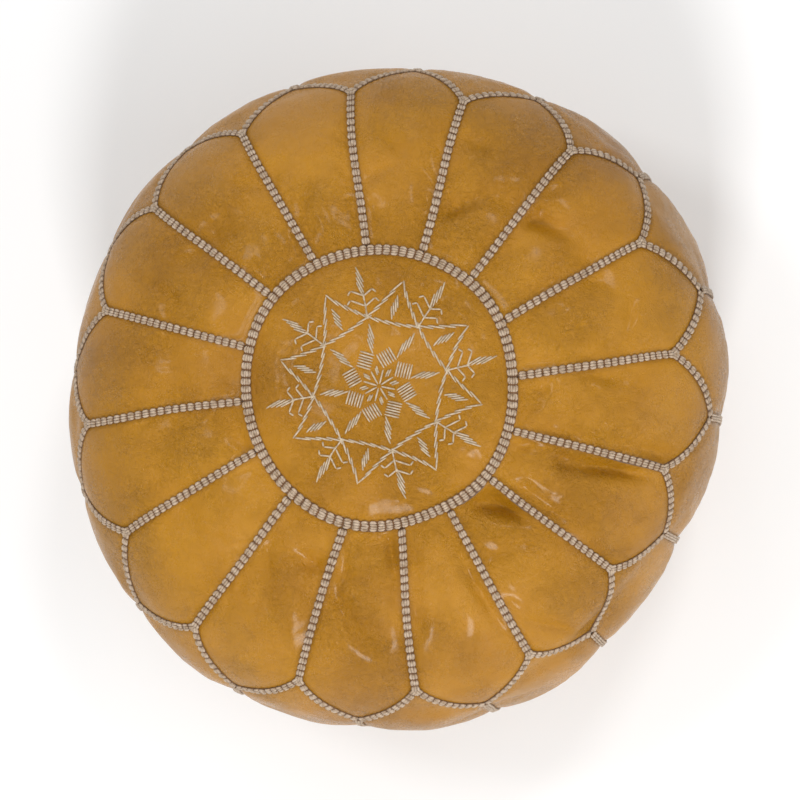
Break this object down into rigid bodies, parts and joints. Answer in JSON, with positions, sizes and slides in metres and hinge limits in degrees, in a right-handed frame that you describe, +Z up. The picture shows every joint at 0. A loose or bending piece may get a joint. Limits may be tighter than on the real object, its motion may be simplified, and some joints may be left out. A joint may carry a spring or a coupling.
{
  "type": "moroccan leather pouf",
  "caption": "Round stuffed leather floor pouf with an embroidered roundel, scalloped petals and side panels joined by thread bound seams, and a zip underneath.",
  "frame": {"origin": "on the floor under the middle of the pouf, the centre of the bounding box's bottom face", "axes": "+Z up; +X along the zip in the underside, towards its bottom stop, where the slider travels as the zip opens; +Y to the left of it"},
  "size_m": [0.5098, 0.5098, 0.33],
  "materials": {
    "leather": "satin",
    "underside_leather": "satin",
    "seam_thread": "matte",
    "zip_tape": "matte",
    "zip_metal": "satin",
    "insert_cotton": "matte",
    "wadding": "matte"
  },
  "bodies": {
    "pouf": {"top_roundel": "leather", "top_petal_01": "leather", "top_petal_02": "leather", "top_petal_03": "leather", "top_petal_04": "leather", "top_petal_05": "leather", "top_petal_06": "leather", "top_petal_07": "leather", "top_petal_08": "leather", "top_petal_09": "leather", "top_petal_10": "leather", "top_petal_11": "leather", "top_petal_12": "leather", "top_petal_13": "leather", "top_petal_14": "leather", "top_petal_15": "leather", "top_petal_16": "leather", "side_panel_01": "leather", "side_panel_02": "leather", "side_panel_03": "leather", "side_panel_04": "leather", "side_panel_05": "leather", "side_panel_06": "leather", "side_panel_07": "leather", "side_panel_08": "leather", "side_panel_09": "leather", "side_panel_10": "leather", "side_panel_11": "leather", "side_panel_12": "leather", "side_panel_13": "leather", "side_panel_14": "leather", "side_panel_15": "leather", "side_panel_16": "leather", "bottom_half_left": "underside_leather", "bottom_half_right": "underside_leather", "petal_seams": "seam_thread", "side_seams": "seam_thread", "floor_seam": "seam_thread", "zip_tape_left": "zip_tape", "zip_tape_right": "zip_tape", "zip_chain_left": "zip_metal", "zip_chain_right": "zip_metal", "zip_top_stop_left": "zip_metal", "zip_top_stop_right": "zip_metal", "zip_bottom_stop": "zip_metal", "insert_cover": "insert_cotton", "insert_filling": "wadding"},
    "zip_slider": {"zip_slider": "zip_metal"},
    "zip_pull": {"zip_pull": "zip_metal"}
  },
  "joints": [
    {"name": "zip_slide", "type": "slide", "parent": "pouf", "child": "zip_slider", "axis": [1, 0, 0], "range_m": [0, 0.28]},
    {"name": "zip_pull_hinge", "type": "hinge", "parent": "zip_slider", "child": "zip_pull", "pos_m": [-0.1396, 0, 0.00216], "axis": [0, 1, 0], "range_deg": [0, 180]}
  ]
}
